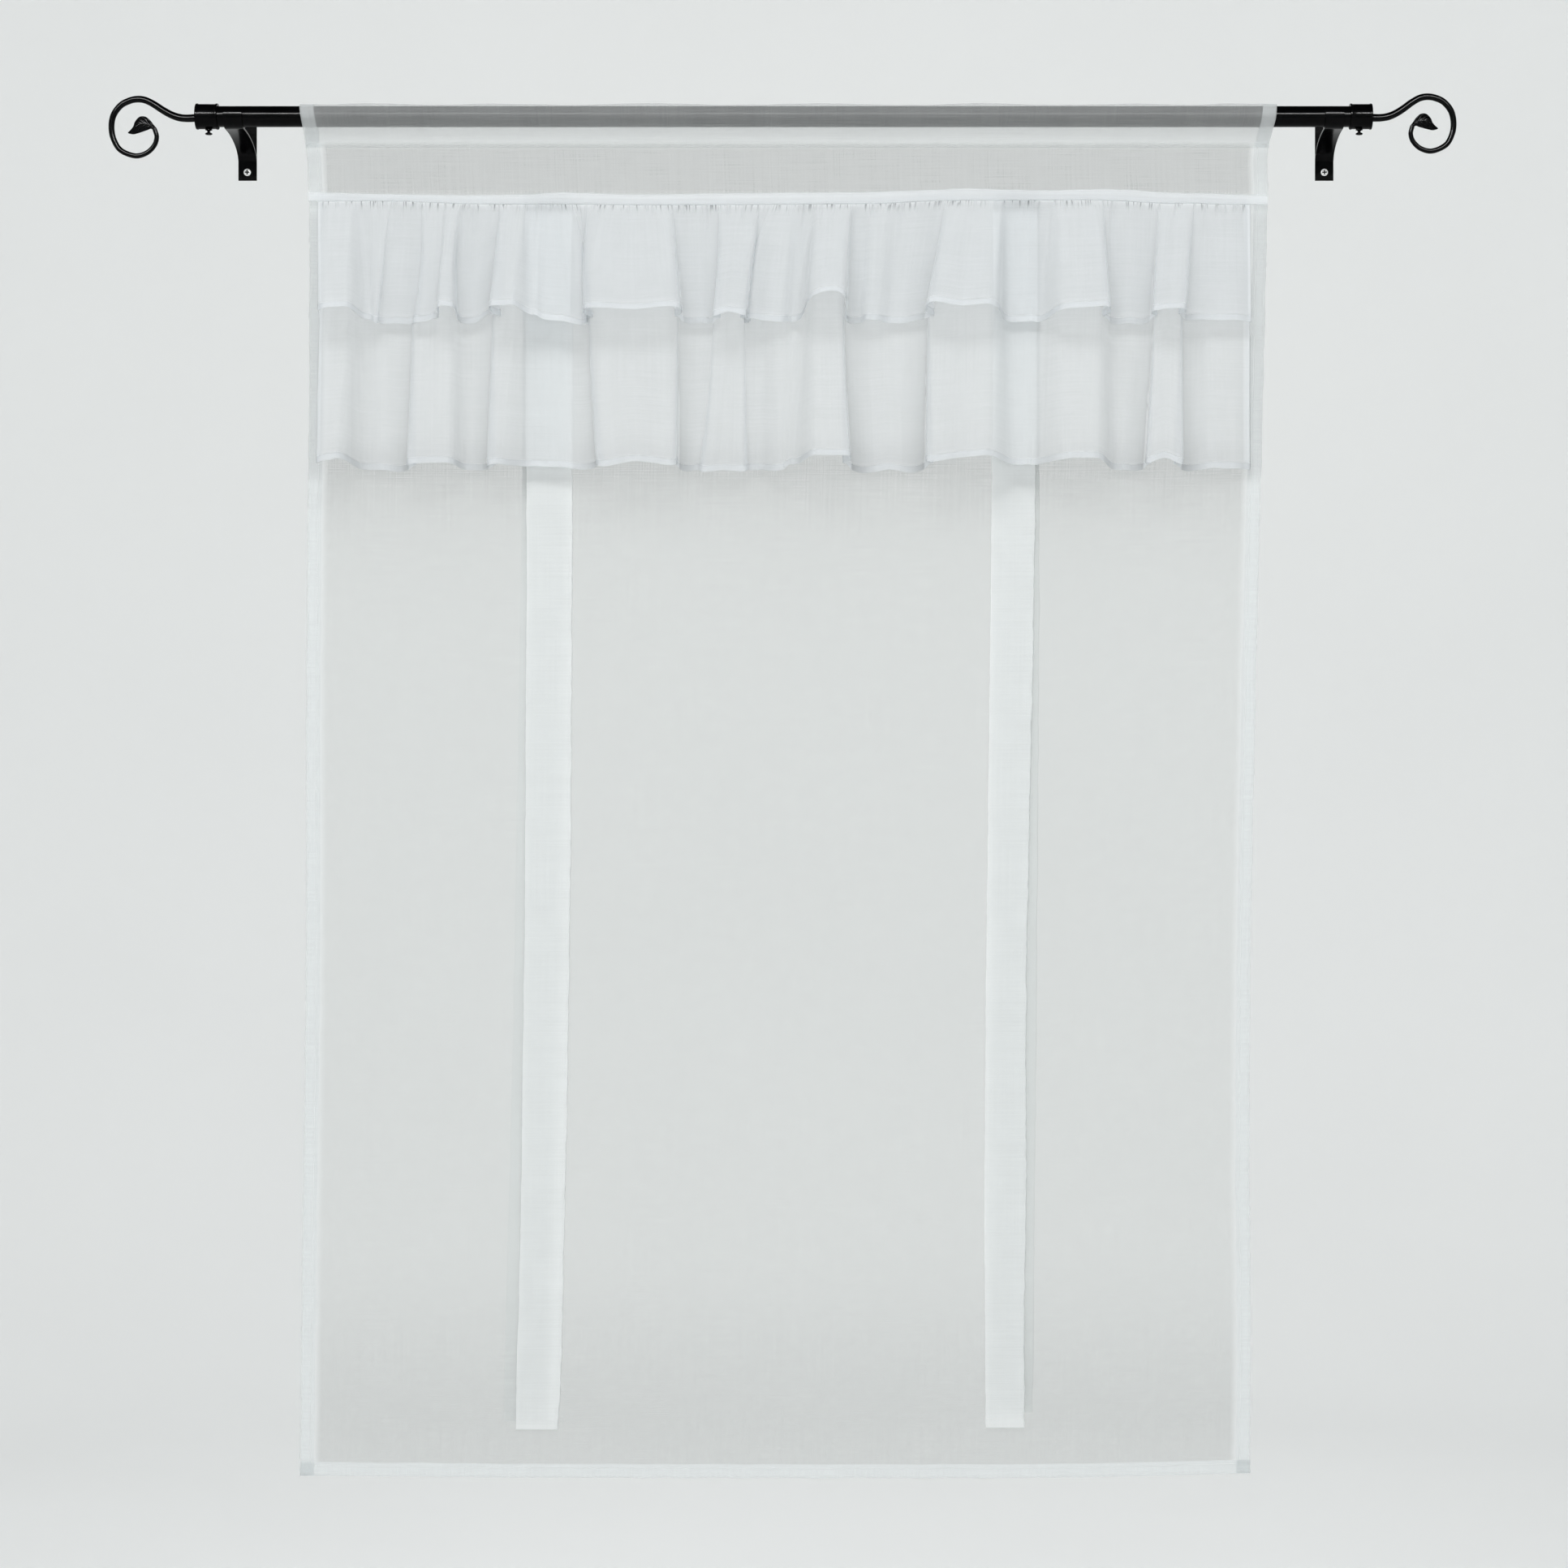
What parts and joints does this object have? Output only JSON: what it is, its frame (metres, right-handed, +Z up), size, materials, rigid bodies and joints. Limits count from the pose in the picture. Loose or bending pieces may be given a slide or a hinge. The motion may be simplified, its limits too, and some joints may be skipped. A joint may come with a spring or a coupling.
{
  "type": "sheer tie-up shade on a scroll-finial rod",
  "caption": "Sheer white tie-up window shade with a tiered gathered valance and hanging ties, threaded on a black metal rod with scroll finials and wall brackets.",
  "frame": {"origin": "on the wall plane, midway between the two bracket screws and level with them", "axes": "+Z up, +Y into the wall, so the front faces -Y, and +X to the right seen from the front"},
  "size_m": [1.4201, 0.1414, 1.459],
  "materials": {
    "voile": "sheer plain-weave",
    "ruffle_voile": "sheer plain-weave, gathered",
    "tie_cloth": "doubled, soft sheen",
    "black_metal": "satin powder coat",
    "bright_nickel": "bright plated"
  },
  "bodies": {
    "root": {"panel": "voile", "seam_band": "ruffle_voile", "ruffle_upper": "ruffle_voile", "ruffle_lower": "ruffle_voile", "tie_front_left": "tie_cloth", "tie_front_right": "tie_cloth", "tie_back_left": "tie_cloth", "tie_back_right": "tie_cloth", "rod": "black_metal", "finial_cap_left": "black_metal", "thumbscrew_left": "black_metal", "scroll_left": "black_metal", "leaf_left": "black_metal", "bracket_left": "black_metal", "screw_left": "bright_nickel", "finial_cap_right": "black_metal", "thumbscrew_right": "black_metal", "scroll_right": "black_metal", "leaf_right": "black_metal", "bracket_right": "black_metal", "screw_right": "bright_nickel"}
  },
  "joints": []
}
